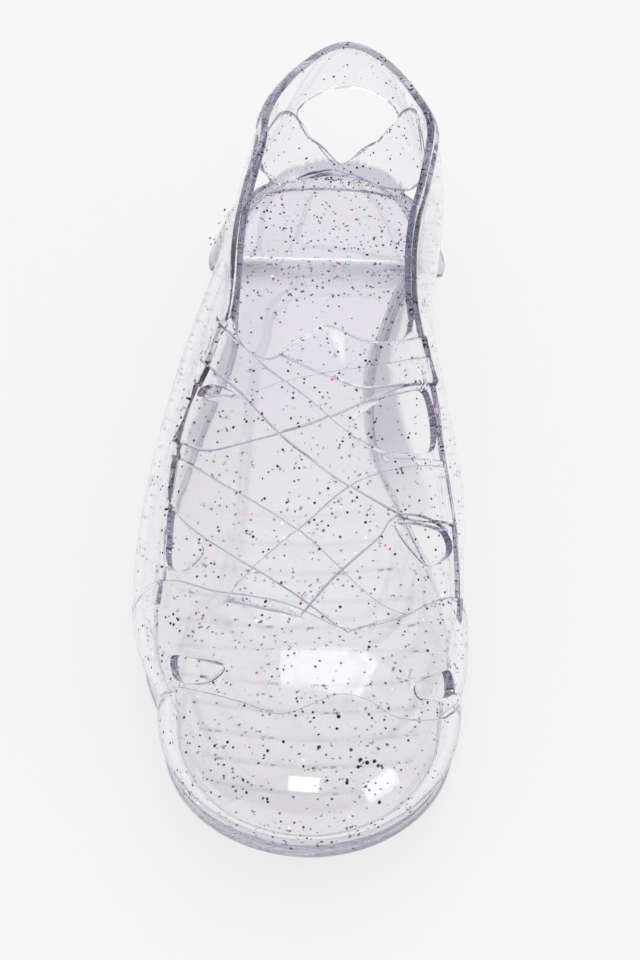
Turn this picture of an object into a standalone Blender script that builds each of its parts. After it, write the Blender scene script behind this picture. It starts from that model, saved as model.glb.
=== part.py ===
import math

import bpy
import numpy as np
from mathutils import Vector
from mathutils.geometry import delaunay_2d_cdt

# A moulded clear jelly sandal, the right shoe. Metres, +Z up.
# The toe points to -Y and the medial side is +X. Z = 0 is the floor, and the
# origin is the middle of the heel block's length, on its flat underside.

# Driving sizes
form_length = 0.2345
ball_width = 0.085
instep_height = 0.060
side_height = 0.016
heel_lift = 0.010
toe_spring = 0.005
spring_start = 0.745
sole_thickness = 0.0055
insole_thickness = 0.0014
wall = 0.0022
strap_relief = 0.0008
guard_relief = 0.0006
rim_relief = 0.0011
rim_width = 0.0026
edge_ramp = 0.0007
edge_blend = 0.006
sole_ledge = 0.0010
side_step = 0.0009
heel_block_length = 0.028
heel_block_width = 0.0695
heel_block_flare = 0.0035
heel_block_reach = 0.0195
heel_block_shift = -0.0016
breast_taper_lateral = 0.10
breast_taper_medial = 0.32
breast_curve = 3
breast_steps = (0.0, 0.45, 0.75, 0.9, 1.0)
groove_depth = 0.0008
groove_width = 0.0030
groove_pitch = 0.0095
groove_margin = 0.0085
tread_start = 0.52
tread_grooves = 11
clearance = 0.0003

# Mesh spacing
upper_spacing = 0.0062
sole_spacing = 0.0085
line_spacing = 0.0058

# Sections of the foot form. along: share of form_length from the heel.
# feather and wide: half widths at the sole's edge and at the widest height,
# shares of half the ball width. lift: share of heel_lift. bulge: height of
# the widest place, share of side_height. ridge: top of the form above its
# edge, share of instep_height. sway: sideways place of the ridge, share of
# half the ball width. lean: how much narrower the form gets towards the ridge.
# waist: how far the medial wall draws in under the foot, share of half the ball width.
section_columns = (
    "along", "feather_lateral", "feather_medial", "wide_lateral", "wide_medial",
    "lift", "bulge", "ridge", "sway", "lean_lateral", "lean_medial",
    "waist",
)
sections = np.array((
    (0.138, 0.600, 0.576, 0.690, 0.690, 1.00, 0.875, 1.330, 0.130, 0.34, 0.12, 0.05),
    (0.225, 0.576, 0.530, 0.706, 0.676, 0.96, 1.000, 1.110, 0.035, 0.20, 0.06, 0.14),
    (0.307, 0.588, 0.518, 0.753, 0.647, 0.84, 1.060, 1.050, 0.000, 0.05, 0.00, 0.24),
    (0.437, 0.776, 0.660, 0.918, 0.765, 0.45, 1.000, 1.017, -0.035, 0.00, 0.00, 0.39),
    (0.542, 0.918, 0.800, 1.035, 0.882, 0.15, 0.810, 0.967, -0.047, 0.00, 0.00, 0.30),
    (0.671, 1.000, 0.824, 1.100, 0.894, 0.00, 0.625, 0.808, -0.035, 0.00, 0.00, 0.03),
    (0.757, 0.950, 0.835, 1.040, 0.905, 0.00, 0.594, 0.675, 0.000, 0.00, 0.00, 0.00),
    (0.850, 0.805, 0.780, 0.875, 0.845, 0.00, 0.530, 0.520, 0.035, 0.00, 0.00, 0.00),
))
column = {name: place for place, name in enumerate(section_columns)}

# The rounded ends. feather and wide: reach past the last section, shares of
# half the ball width. roundness: power of the end's curve at the sole. pinch:
# how much of that power is lost towards the ridge, where the end is narrower.
ends = {
    "heel": {"feather": 0.612, "wide": 0.712, "bulge": 0.875, "roundness": 1.98, "pinch": 0.30},
    "toe": {"feather": 0.835, "wide": 0.895, "bulge": 0.375, "roundness": 1.95, "pinch": 0},
}

# Lines on the upper are drawn on its unrolled skin. along: share of the
# straight ridge from the heel end to the toe end, past 0 and 1 in the rounded
# ends. across: share of the girth from the ridge to the sole, lateral is minus.
rim_line = (
    (0.865, -0.545), (0.822, -0.500), (0.763, -0.475), (0.678, -0.440), (0.584, -0.425),
    (0.505, -0.350), (0.480, -0.328), (0.404, -0.305), (0.328, -0.325), (0.251, -0.370),
    (0.166, -0.425), (0.080, -0.470), (-0.020, -0.505), (-0.094, -0.425), (-0.136, -0.290),
    (-0.152, -0.150), (-0.154, 0.030), (-0.147, 0.190), (-0.129, 0.325), (-0.091, 0.442),
    (-0.020, 0.500), (0.080, 0.472), (0.171, 0.430), (0.283, 0.420), (0.373, 0.415),
    (0.489, 0.475), (0.593, 0.500), (0.673, 0.575), (0.705, 0.610), (0.760, 0.630),
    (0.826, 0.625), (0.865, 0.610),
)
throat_line = (
    (0.390, 0.393), (0.425, 0.370), (0.467, 0.288), (0.487, 0.162), (0.474, 0.040),
    (0.500, -0.045), (0.528, -0.125), (0.503, -0.205), (0.462, -0.260), (0.425, -0.286),
)

# Straps: two edges each, from the lateral end to the medial end.
straps = {
    "upper_cross": (
        ((0.420, -0.200), (0.455, -0.060), (0.474, 0.040), (0.487, 0.162), (0.467, 0.288), (0.405, 0.450)),
        ((0.490, -0.180), (0.530, -0.088), (0.561, 0.025), (0.575, 0.138), (0.566, 0.212),
         (0.530, 0.350), (0.480, 0.500)),
    ),
    "upper_counter": (
        ((0.510, -0.400), (0.539, -0.350), (0.584, -0.212), (0.568, -0.050), (0.552, 0.088),
         (0.520, 0.240), (0.450, 0.440)),
        ((0.600, -0.470), (0.622, -0.412), (0.660, -0.288), (0.656, -0.088), (0.629, 0.062),
         (0.593, 0.175), (0.530, 0.350), (0.490, 0.480)),
    ),
    "middle_cross": (
        ((0.410, -0.350), (0.449, -0.295), (0.503, -0.207), (0.561, -0.100), (0.629, 0.062),
         (0.660, 0.190), (0.665, 0.288), (0.612, 0.510)),
        ((0.480, -0.390), (0.516, -0.325), (0.579, -0.212), (0.656, -0.088), (0.700, 0.012),
         (0.732, 0.125), (0.752, 0.260), (0.750, 0.375), (0.700, 0.590)),
    ),
    "middle_counter": (
        ((0.900, -0.270), (0.880, -0.238), (0.858, -0.175), (0.804, -0.038), (0.732, 0.125),
         (0.685, 0.280), (0.625, 0.500)),
        ((0.932, -0.045), (0.918, -0.020), (0.867, 0.088), (0.804, 0.225), (0.754, 0.312), (0.720, 0.560)),
    ),
    "lower_cross": (
        ((0.625, -0.460), (0.660, -0.380), (0.718, -0.250), (0.804, -0.038), (0.867, 0.110),
         (0.900, 0.230), (0.905, 0.330)),
        ((0.690, -0.480), (0.709, -0.450), (0.772, -0.362), (0.858, -0.175), (0.944, 0.075), (0.950, 0.120)),
    ),
    "heel_lateral": (
        ((-0.150, -0.430), (-0.200, -0.330), (-0.240, -0.262), (-0.278, -0.180), (-0.318, -0.075),
         (-0.336, 0.040), (-0.345, 0.220), (-0.330, 0.400)),
        ((-0.110, -0.560), (-0.150, -0.598), (-0.214, -0.610), (-0.280, -0.575), (-0.345, -0.300), (-0.358, 0.050)),
    ),
    "heel_medial": (
        ((-0.110, 0.440), (-0.176, 0.366), (-0.206, 0.340), (-0.276, 0.218), (-0.312, 0.135),
         (-0.336, 0.040), (-0.350, -0.120), (-0.325, -0.400)),
        ((-0.126, 0.600), (-0.165, 0.645), (-0.225, 0.660), (-0.310, 0.480), (-0.356, 0.150)),
    ),
}
toe_cap_line = (
    (0.800, -0.900), (0.812, -0.640), (0.840, -0.450), (0.880, -0.300), (0.911, -0.088),
    (0.945, 0.090), (0.938, 0.170), (0.911, 0.312), (0.871, 0.438), (0.817, 0.640), (0.800, 0.900),
)
toe_guard_line = (
    (0.960, -0.900), (0.990, -0.660), (1.035, -0.425), (1.065, -0.250), (1.085, -0.100),
    (1.057, 0.080), (1.060, 0.188), (1.078, 0.340), (1.052, 0.560), (0.980, 0.760), (0.960, 0.920),
)

# Openings cut through the wall.
windows = {
    "medial_upper": ((0.646, 0.125), (0.600, 0.190), (0.545, 0.330), (0.515, 0.445),
                     (0.600, 0.465), (0.640, 0.360), (0.656, 0.240)),
    "medial_lower": ((0.772, 0.300), (0.757, 0.350), (0.740, 0.440), (0.722, 0.560),
                     (0.745, 0.590), (0.806, 0.455), (0.800, 0.370)),
    "lateral_upper": ((0.540, -0.330), (0.574, -0.235), (0.562, -0.330), (0.550, -0.365)),
    "lateral_lower": ((0.726, -0.440), (0.772, -0.372), (0.812, -0.330), (0.832, -0.400),
                      (0.812, -0.465), (0.765, -0.455)),
    "toe_lateral": ((0.945, -0.560), (0.968, -0.450), (1.000, -0.330), (1.020, -0.400),
                    (1.005, -0.530), (0.975, -0.590)),
    "toe_medial": ((0.955, 0.590), (0.980, 0.500), (1.015, 0.400), (1.035, 0.440),
                   (1.015, 0.560), (0.985, 0.640)),
    "heel": ((-0.200, -0.315), (-0.208, -0.168), (-0.212, -0.020), (-0.200, 0.180), (-0.180, 0.345),
             (-0.202, 0.346), (-0.276, 0.206), (-0.330, 0.040), (-0.276, -0.172), (-0.235, -0.260)),
    "heel_side_lateral": (
        (-0.135, -0.610), (-0.195, -0.622), (-0.250, -0.610), (-0.205, -0.715),
        (-0.150, -0.795), (-0.090, -0.800), (-0.070, -0.720),
    ),
    "heel_side_medial": (
        (-0.130, 0.645), (-0.195, 0.675), (-0.235, 0.660), (-0.190, 0.745),
        (-0.140, 0.800), (-0.085, 0.790), (-0.080, 0.710),
    ),
}

# The outsole's side, bottom to top. height: share of the thickness.
# outset: share of side_step.
side_profile = ((0.00, -0.9), (0.14, 0.0), (0.50, 0.0), (0.58, -1.0), (1.00, -1.0))

# The heel block's outline. across: share of its half width. along: share of
# its half length, from the breast at -1 to the back at 1.
heel_block_outline = (
    (0.00, 1.00), (0.42, 0.90), (0.74, 0.58), (0.91, 0.12), (0.99, -0.42),
    (0.99, -0.80), (0.92, -0.97), (0.50, -1.00), (0.00, -1.00),
)

half_ball = ball_width / 2
heel_end = sections[0][column["along"]]
toe_end = sections[-1][column["along"]]
spine_length = (toe_end - heel_end) * form_length
girth = instep_height
heel_back = heel_block_length / 2 + heel_end * form_length - half_ball * ends["heel"]["wide"]
sole_reach = wall + strap_relief + guard_relief + sole_ledge


def smooth_reading(name, along):
    """Read one column of the sections between its rows, on a smooth curve."""
    places = sections[:, column["along"]]
    values = sections[:, column[name]]
    slopes = np.gradient(values, places)
    rises = np.diff(values)
    slopes[1:-1][rises[1:] * rises[:-1] <= 0] = 0
    slopes[[0, -1]] = 0
    along = np.clip(along, places[0], places[-1])
    row = np.clip(np.searchsorted(places, along) - 1, 0, len(places) - 2)
    span = places[row + 1] - places[row]
    part = (along - places[row]) / span
    near = (2 * part**3 - 3 * part**2 + 1) * values[row] + (part**3 - 2 * part**2 + part) * span * slopes[row]
    far = (3 * part**2 - 2 * part**3) * values[row + 1] + (part**3 - part**2) * span * slopes[row + 1]
    return near + far


def end_reach(side_width, end_length, turn, roundness):
    """Distance from an end's centre to its curved edge, by the turn from straight ahead."""
    ahead = np.abs(np.cos(turn) / end_length) ** roundness
    aside = np.abs(np.sin(turn) / side_width) ** roundness
    return (ahead + aside) ** (-1 / roundness)


def skin_frame(skin):
    """Where points of the unrolled skin lie: section, side, turn round an end, and depth."""
    along, across = skin[:, 0], skin[:, 1]
    past_heel = np.maximum(-along, 0)
    past_toe = np.maximum(along - spine_length, 0)
    past = past_heel + past_toe
    section = heel_end + np.clip(along, 0, spine_length) / form_length
    depth = np.hypot(past, across) / girth
    turn = np.where(past > 0, np.arctan2(np.abs(across), past), math.pi / 2)
    return section, across < 0, turn, depth, past_heel > 0, past_toe > 0


def section_bulge(section, turn, in_heel, in_toe):
    """Share of side_height at which the form is widest, carried round the two ends."""
    value = smooth_reading("bulge", section)
    ahead = np.cos(turn) ** 2
    value = np.where(in_heel, value * (1 - ahead) + ends["heel"]["bulge"] * ahead, value)
    return np.where(in_toe, value * (1 - ahead) + ends["toe"]["bulge"] * ahead, value)


def sole_height(y):
    """Height of the outsole's underside above the floor: heel lift, waist, flat and toe spring."""
    along = (heel_back - y) / form_length
    past = np.clip((along - spring_start) / (1 - spring_start), 0, 1.1)
    return heel_lift * smooth_reading("lift", along) + toe_spring * past**1.8


def half_width(kind, section, lateral, turn, depth, in_heel, in_toe):
    """Half width of the form, carried round the two ends."""
    side = np.where(lateral, smooth_reading(kind + "_lateral", section), smooth_reading(kind + "_medial", section))
    width = side
    for place, end in ((in_heel, ends["heel"]), (in_toe, ends["toe"])):
        roundness = end["roundness"] - end["pinch"] * (1 - np.minimum(depth, 1))
        width = np.where(place, end_reach(side, end[kind], turn, roundness), width)
    return half_ball * width


def foot_form(skin):
    """The foot form in space, for points of its unrolled skin."""
    section, lateral, turn, depth, in_heel, in_toe = skin_frame(skin)
    feather = half_width("feather", section, lateral, turn, depth, in_heel, in_toe)
    wide = half_width("wide", section, lateral, turn, depth, in_heel, in_toe)
    bulge = side_height * section_bulge(section, turn, in_heel, in_toe)
    crown = instep_height * smooth_reading("ridge", section) - bulge
    tuck = np.arccos(np.clip(feather / wide, 0, 1))
    angle = (math.pi / 2 + tuck) * (1 - depth) - tuck
    rise = np.where(angle > 0, crown * np.sin(angle), bulge * np.sin(angle) / np.sin(tuck))
    under = np.maximum(-np.sin(angle) / np.sin(tuck), 0)
    waist = np.where(lateral, 0, half_ball * smooth_reading("waist", section) * np.sin(turn) ** 2)
    reach = wide * np.cos(angle) - waist * under
    lean = np.where(lateral, smooth_reading("lean_lateral", section), smooth_reading("lean_medial", section))
    sideways = np.where(lateral, -1, 1) * np.sin(turn) * (1 - lean * (1 - depth))
    forward = np.where(in_heel, 1, -1) * np.cos(turn)
    centre = heel_back - section * form_length
    edge = sole_thickness + sole_height(centre + feather * forward * np.minimum(depth, 1))
    x = half_ball * smooth_reading("sway", section) * (1 - depth) + reach * sideways
    y = centre + reach * forward
    return np.stack((x, y, edge + bulge + rise), axis=1)


def form_normals(skin):
    """Outward directions of the foot form."""
    step = 0.0002
    ahead = foot_form(skin + (step, 0)) - foot_form(skin - (step, 0))
    aside = foot_form(skin + (0, step)) - foot_form(skin - (0, step))
    normals = np.cross(ahead, aside)
    return normals / np.linalg.norm(normals, axis=1)[:, None]


def both_skins(skin, height, to_sole):
    """The form's own points and those at a height over it, laid flat on the sole at the bottom."""
    base = foot_form(skin)
    outward = form_normals(skin)
    falling = outward[:, 2] < 0
    outward[falling, 2] *= np.clip(to_sole[falling] / edge_blend, 0, 1)
    outward = outward / np.linalg.norm(outward, axis=1)[:, None]
    outer = base + outward * height[:, None]
    for side in (base, outer):
        floor = sole_thickness + sole_height(side[:, 1])
        side[:, 2] = np.where(to_sole < clearance, floor, np.maximum(side[:, 2], floor))
    return base, outer


def curve_through(points, spacing, closed=False):
    """Points at a spacing on a smooth curve through the given ones."""
    points = np.array(points, dtype=float)
    count = len(points)
    result = []
    for place in range(count if closed else count - 1):
        before, start, stop, after = (
            points[(place + shift) % count] if closed else points[min(max(place + shift, 0), count - 1)]
            for shift in (-1, 0, 1, 2)
        )
        pieces = max(1, round(float(np.linalg.norm(stop - start)) / spacing))
        for piece in range(pieces):
            part = piece / pieces
            bend_in = (stop - before) / 2
            bend_out = (after - start) / 2
            result.append(
                (2 * part**3 - 3 * part**2 + 1) * start + (part**3 - 2 * part**2 + part) * bend_in
                + (3 * part**2 - 2 * part**3) * stop + (part**3 - part**2) * bend_out
            )
    if not closed:
        result.append(points[-1])
    return np.array(result)


def line_normals(line, closed):
    """Left-hand directions along a line."""
    if closed:
        ahead = np.roll(line, -1, axis=0) - np.roll(line, 1, axis=0)
    else:
        ahead = np.gradient(line, axis=0)
    ahead = ahead / np.linalg.norm(ahead, axis=1)[:, None]
    return np.stack((-ahead[:, 1], ahead[:, 0]), axis=1)


def shifted(line, distance, closed):
    """The line moved to its left by a distance."""
    return line + distance * line_normals(line, closed)


def turned_left(loop):
    """A closed loop that runs round to the left."""
    following = np.roll(loop, -1, axis=0)
    area = np.sum(loop[:, 0] * following[:, 1] - loop[:, 1] * following[:, 0])
    return loop if area > 0 else loop[::-1]


def inside(points, loop):
    """Which points lie inside a closed loop."""
    result = np.zeros(len(points), dtype=bool)
    for start, stop in zip(loop, np.roll(loop, -1, axis=0)):
        crosses = (start[1] > points[:, 1]) != (stop[1] > points[:, 1])
        if not crosses.any():
            continue
        share = (points[:, 1] - start[1]) / (stop[1] - start[1])
        result ^= crosses & (points[:, 0] < start[0] + share * (stop[0] - start[0]))
    return result


def distance_to(points, line, closed):
    """Distance from each point to a line."""
    starts = line if closed else line[:-1]
    stops = np.roll(line, -1, axis=0) if closed else line[1:]
    run = stops - starts
    length = np.maximum(np.sum(run * run, axis=1), 1e-18)
    offset = points[:, None, :] - starts[None, :, :]
    part = np.clip(np.sum(offset * run, axis=2) / length, 0, 1)
    return np.sqrt(np.min(np.sum((offset - part[:, :, None] * run) ** 2, axis=2), axis=1))


def plateau(points, loop):
    """1 inside a raised area, 0 outside, with a short ramp inside its border."""
    depth = distance_to(points, loop, True) / edge_ramp
    return np.where(inside(points, loop), np.clip(depth, 0, 1), 0)


def net(outline, holes, creases, spacing):
    """Triangles of a flat area with holes, with edges along the creases."""
    points, edges = [], []
    for line, closed in [(outline, True)] + [(hole, True) for hole in holes] + creases:
        first = len(points)
        points.extend(line)
        edges.extend((first + place, first + place + 1) for place in range(len(line) - 1))
        if closed:
            edges.append((first + len(line) - 1, first))
    low, high = outline.min(axis=0), outline.max(axis=0)
    rows = np.arange(low[1], high[1], spacing * math.sqrt(3) / 2)
    fill = np.array([
        (x + (number % 2) * spacing / 2, y)
        for number, y in enumerate(rows)
        for x in np.arange(low[0], high[0], spacing)
    ])
    keep = inside(fill, outline) & (distance_to(fill, outline, True) > spacing * 0.55)
    for hole in holes:
        keep &= ~inside(fill, hole) & (distance_to(fill, hole, True) > spacing * 0.55)
    for line, closed in creases:
        keep &= distance_to(fill, line, closed) > spacing * 0.42
    points.extend(fill[keep])
    scale = 1000
    vectors = [Vector((float(point[0]) * scale, float(point[1]) * scale)) for point in points]
    found = delaunay_2d_cdt(vectors, edges, [], 0, 0.12)
    flat = np.array([tuple(vector) for vector in found[0]]) / scale
    triangles = np.array(found[2])
    centres = flat[triangles].mean(axis=1)
    keep = inside(centres, outline)
    for hole in holes:
        keep &= ~inside(centres, hole)
    triangles = triangles[keep]
    used, triangles = np.unique(triangles, return_inverse=True)
    triangles = triangles.reshape(-1, 3)
    flat = flat[used]
    first, second, third = (flat[triangles[:, corner]] for corner in range(3))
    run, rise = second - first, third - first
    area = run[:, 0] * rise[:, 1] - run[:, 1] * rise[:, 0]
    triangles[area < 0] = triangles[area < 0][:, ::-1]
    return flat, triangles


def border_edges(triangles):
    """Edges with one triangle, in that triangle's direction."""
    seen = {}
    for triangle in triangles:
        for start, stop in zip(triangle, np.roll(triangle, -1)):
            seen[(int(start), int(stop))] = True
    return [edge for edge in seen if (edge[1], edge[0]) not in seen]


def closed_wall(name, upper_side, lower_side, triangles, rings=()):
    """A solid between two sides of one net. rings lie between them along the border."""
    count = len(upper_side)
    layers = [upper_side, lower_side, *rings]
    points = np.concatenate(layers)
    faces = [tuple(triangle) for triangle in triangles]
    faces += [tuple(int(corner) + count for corner in triangle[::-1]) for triangle in triangles]
    order = [0, *range(2, 2 + len(rings)), 1]
    for start, stop in border_edges(triangles):
        for above, below in zip(order, order[1:]):
            high, low = above * count, below * count
            faces.append((start + high, low + start, low + stop))
            faces.append((start + high, low + stop, stop + high))
    used = sorted({corner for face in faces for corner in face})
    renumber = {corner: place for place, corner in enumerate(used)}
    mesh = bpy.data.meshes.new(name)
    mesh.from_pydata(
        [tuple(points[corner]) for corner in used], [],
        [tuple(renumber[corner] for corner in face) for face in faces],
    )
    mesh.validate()
    mesh.update()
    piece = bpy.data.objects.new(name, mesh)
    bpy.context.scene.collection.objects.link(piece)
    mesh.shade_smooth()
    mesh.set_sharp_from_angle(angle=math.radians(35))
    return piece


def moulded(name, colour, roughness):
    """One finish: a clear or tinted moulded plastic."""
    material = bpy.data.materials.new(name)
    material.use_nodes = True
    shader = material.node_tree.nodes["Principled BSDF"]
    shader.inputs["Base Color"].default_value = (*colour, 1)
    shader.inputs["Roughness"].default_value = roughness
    shader.inputs["Metallic"].default_value = 0
    material.diffuse_color = (*colour, 1)
    return material


def skin_points(shares):
    """Shares of the unrolled skin as lengths."""
    return np.array(shares) * (spine_length, girth)


def skin_outline(depth, spacing):
    """The closed line round the skin at one share of its depth."""
    radius = girth * depth
    turns = np.linspace(-math.pi / 2, math.pi / 2, max(9, round(math.pi * radius / spacing)))
    runs = np.linspace(0, spine_length, max(9, round(spine_length / spacing)))[1:-1]
    toe = np.stack((spine_length + radius * np.cos(turns), radius * np.sin(turns)), axis=1)
    heel = np.stack((-radius * np.cos(turns), -radius * np.sin(turns)), axis=1)
    medial = np.stack((runs[::-1], np.full(len(runs), radius)), axis=1)
    lateral = np.stack((runs, np.full(len(runs), -radius)), axis=1)
    return np.concatenate((toe, medial, heel, lateral))


def strap_loop(edges):
    """A strap's outline on the skin, from its two edges."""
    first, second = (curve_through(skin_points(edge), line_spacing) for edge in edges)
    return turned_left(np.concatenate((first, second[::-1])))


def cap_loop(line):
    """The area from a line across the toe down to the sole."""
    line = curve_through(skin_points(line), line_spacing)
    reach = girth * 1.3
    turns = np.linspace(math.pi / 2, -math.pi / 2, 12)
    front = np.stack((spine_length + reach * np.cos(turns), reach * np.sin(turns)), axis=1)
    return turned_left(np.concatenate((line, front)))


def throat_loop(rim_inner):
    """The foot opening: the rim's inner line closed by the straps' front line."""
    front = curve_through(skin_points(throat_line), line_spacing)
    to_medial = np.argmin(np.linalg.norm(rim_inner - front[0], axis=1))
    to_lateral = np.argmin(np.linalg.norm(rim_inner - front[-1], axis=1))
    return turned_left(np.concatenate((rim_inner[to_lateral:to_medial + 1], front[1:-1])))


def build_upper():
    """The cage: collar rim, heel band and straps, side wall, crossed straps and toe cap."""
    rim = curve_through(skin_points(rim_line), line_spacing)
    rim_inner = shifted(rim, -rim_width / 2, False)
    rim_outer = shifted(rim, rim_width / 2, False)
    rim_loop = turned_left(np.concatenate((rim_inner, rim_outer[::-1])))
    holes = [throat_loop(rim_inner)]
    holes += [curve_through(skin_points(window), line_spacing / 2, True) for window in windows.values()]
    raised = [(strap_loop(edges), strap_relief) for edges in straps.values()]
    raised.append((cap_loop(toe_cap_line), strap_relief))
    raised.append((cap_loop(toe_guard_line), guard_relief))
    raised.append((rim_loop, rim_relief))
    outline = skin_outline(1, line_spacing)
    creases = []
    for loop, relief in raised:
        creases.append((loop, True))
        creases.append((shifted(loop, edge_ramp, True), True))
    skin, triangles = net(outline, holes, creases, upper_spacing)
    height = np.full(len(skin), wall)
    for loop, relief in raised:
        height += relief * plateau(skin, loop)
    base, outer = both_skins(skin, height, distance_to(skin, outline, True))
    piece = closed_wall("upper", outer, base, triangles)
    piece.data.materials.append(moulded("clear_plastic", (0.86, 0.84, 0.89), 0.12))
    return piece


def plan_outline(offset, spacing):
    """The form's bottom edge seen from above, moved out by an offset."""
    return shifted(foot_form(skin_outline(1, spacing))[:, :2], -offset, True)


def groove_loop(edge, y):
    """One groove across the sole's tread, inside the border of the tread."""
    lateral, medial = edge[edge[:, 0] < 0], edge[edge[:, 0] > 0]
    low, high = (
        np.interp(y, half[np.argsort(half[:, 1]), 1], half[np.argsort(half[:, 1]), 0])
        for half in (lateral, medial)
    )
    across = np.linspace(low, high, 6)
    bow = groove_width * np.cos(np.linspace(-1, 1, 6) * math.pi / 2)
    front = np.stack((across, y - bow - groove_width / 2), axis=1)
    back = np.stack((across, y - bow + groove_width / 2), axis=1)
    return turned_left(np.concatenate((front, back[::-1])))


def build_outsole():
    """The sole: true outline, waist, toe spring, stepped side and grooved forefoot."""
    outline = plan_outline(sole_reach, line_spacing)
    margin = plan_outline(sole_reach - groove_margin, line_spacing)
    start = heel_back - tread_start * form_length
    grooves = [groove_loop(margin, start - number * groove_pitch) for number in range(tread_grooves)]
    creases = []
    for groove in grooves:
        creases.append((groove, True))
        creases.append((shifted(groove, edge_ramp, True), True))
    flat, triangles = net(outline, [], creases, sole_spacing)
    outward = -line_normals(outline, True)
    on_border = distance_to(flat, outline, True) < clearance
    nearest = np.argmin(np.linalg.norm(flat[:, None] - outline[None], axis=2), axis=1)
    outward = outward[nearest] * on_border[:, None]
    rings = []
    for height, outset in side_profile:
        place = flat + outward * outset * side_step
        under = sole_height(place[:, 1])
        rings.append(np.column_stack((place, under + height * (sole_thickness - clearance))))
    for groove in grooves:
        rings[0][:, 2] += groove_depth * plateau(flat, groove)
    piece = closed_wall("outsole", rings[-1], rings[0], triangles, rings[-2:0:-1])
    piece.data.materials.append(moulded("sole_plastic", (0.80, 0.78, 0.84), 0.15))
    return piece


def build_insole():
    """The thin footbed that lies on the sole inside the upper."""
    outline = plan_outline(-2 * clearance, line_spacing)
    flat, triangles = net(outline, [], [], sole_spacing)
    under = sole_thickness + sole_height(flat[:, 1])
    low = np.column_stack((flat, under))
    high = np.column_stack((flat, under + insole_thickness))
    piece = closed_wall("insole", high, low, triangles)
    piece.data.materials.append(moulded("footbed_plastic", (0.78, 0.75, 0.80), 0.25))
    return piece


def build_heel_block():
    """The low heel: flared to the floor, with a hollowed breast, under the sole's heel."""
    half = np.array(heel_block_outline)
    shares = np.concatenate((half, half[-2:0:-1] * (-1, 1)))
    outline = turned_left(curve_through(shares * (heel_block_width / 2, heel_block_length / 2), line_spacing, True))
    flat, triangles = net(outline, [], [], sole_spacing)
    front = np.clip(-flat[:, 1] / (heel_block_length / 2), 0, 1)
    taper = np.where(flat[:, 0] < 0, breast_taper_lateral, breast_taper_medial)
    narrowing = 1 - heel_block_flare / (heel_block_width / 2) - taper * front
    rings = []
    for rise in breast_steps:
        x = flat[:, 0] * (1 - (1 - narrowing) * rise) + heel_block_shift
        y = flat[:, 1] - heel_block_reach * front * rise**breast_curve
        rings.append(np.column_stack((x, y, rise * (sole_height(y) - clearance))))
    piece = closed_wall("heel_block", rings[-1], rings[0], triangles, rings[-2:0:-1])
    piece.data.materials.append(moulded("heel_plastic", (0.76, 0.74, 0.80), 0.15))
    return piece


def clear_scene():
    """Remove the objects that the scene starts with."""
    for thing in list(bpy.data.objects):
        bpy.data.objects.remove(thing)


clear_scene()
build_upper()
build_outsole()
build_insole()
build_heel_block()
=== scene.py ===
import math

import bpy
import numpy as np
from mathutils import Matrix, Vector
from mathutils.geometry import delaunay_2d_cdt


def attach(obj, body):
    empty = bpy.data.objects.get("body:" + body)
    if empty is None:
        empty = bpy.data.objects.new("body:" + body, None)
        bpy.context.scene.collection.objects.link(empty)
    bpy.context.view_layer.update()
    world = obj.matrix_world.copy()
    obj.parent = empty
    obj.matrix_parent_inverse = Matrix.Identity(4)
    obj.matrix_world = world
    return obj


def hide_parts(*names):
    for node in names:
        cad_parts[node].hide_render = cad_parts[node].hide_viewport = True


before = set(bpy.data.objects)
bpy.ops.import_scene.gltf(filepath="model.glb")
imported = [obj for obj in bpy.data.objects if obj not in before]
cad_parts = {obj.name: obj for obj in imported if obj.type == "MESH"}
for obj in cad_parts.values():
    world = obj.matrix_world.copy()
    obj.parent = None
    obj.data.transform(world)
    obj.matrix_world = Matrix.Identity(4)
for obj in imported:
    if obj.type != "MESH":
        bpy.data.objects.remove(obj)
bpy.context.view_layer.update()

# A clear glitter jelly sandal, right shoe, dressed over its solids.
# Metres, toe to -Y, medial side to +X, floor at Z = 0.

form = {
    "length": 0.2345,
    "ballWidth": 0.085,
    "instepHeight": 0.060,
    "sideHeight": 0.016,
    "heelLift": 0.010,
    "toeSpring": 0.005,
    "springStart": 0.745,
    "springPower": 1.8,        # how steeply the toe end rises
    "springLimit": 1.1,        # share of the toe end past which it rises no further
    "soleThickness": 0.0055,
    "heelBlockLength": 0.028,
}

upper = {
    "wall": 0.0020,
    "strapRelief": 0.0007,
    "guardRelief": 0.0006,
    "rimRelief": 0.0009,
    "rimWidth": 0.0026,
    "strapEdge": 0.00045,      # width of a strap's rounded edge
    "rimEdge": 0.0012,
    "edgeSteps": (-0.35, 0.0, 0.35, 1.0),
    "rimShade": 0.18,          # painted shade: how strongly the rim and the cut edges are darkened
    "cutShade": 0.75,
    "paintedShadeShift": 0.17,         # painted shade: the dark line on a strap's edge, shares of the edge's width
    "paintedShadeWidth": 0.2,
    "capReach": 1.3,           # how far past the toe the caps are drawn, share of the girth
    "capSteps": 40,
    # painted shade in the fold between the wall and the footbed: height, strength, and where it fades out
    "foldHeight": 0.0070,
    "foldShade": 0.8,
    "foldFade": (0.42, 0.60),
    "cutEdge": 0.0002,         # rounding of the cut-outs and the collar
    # rise and outset shares of the cut edges, outside to inside
    "cutProfile": ((0.97, 0.7), (0.90, 1.0), (0.50, 1.0), (0.10, 1.0), (0.03, 0.7)),
    "sink": 0.0008,            # how far the pieces run into each other before they are fused
    "soleBlend": 0.006,
    "spacing": 0.0015,
    "lineSpacing": 0.0014,
}

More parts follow.
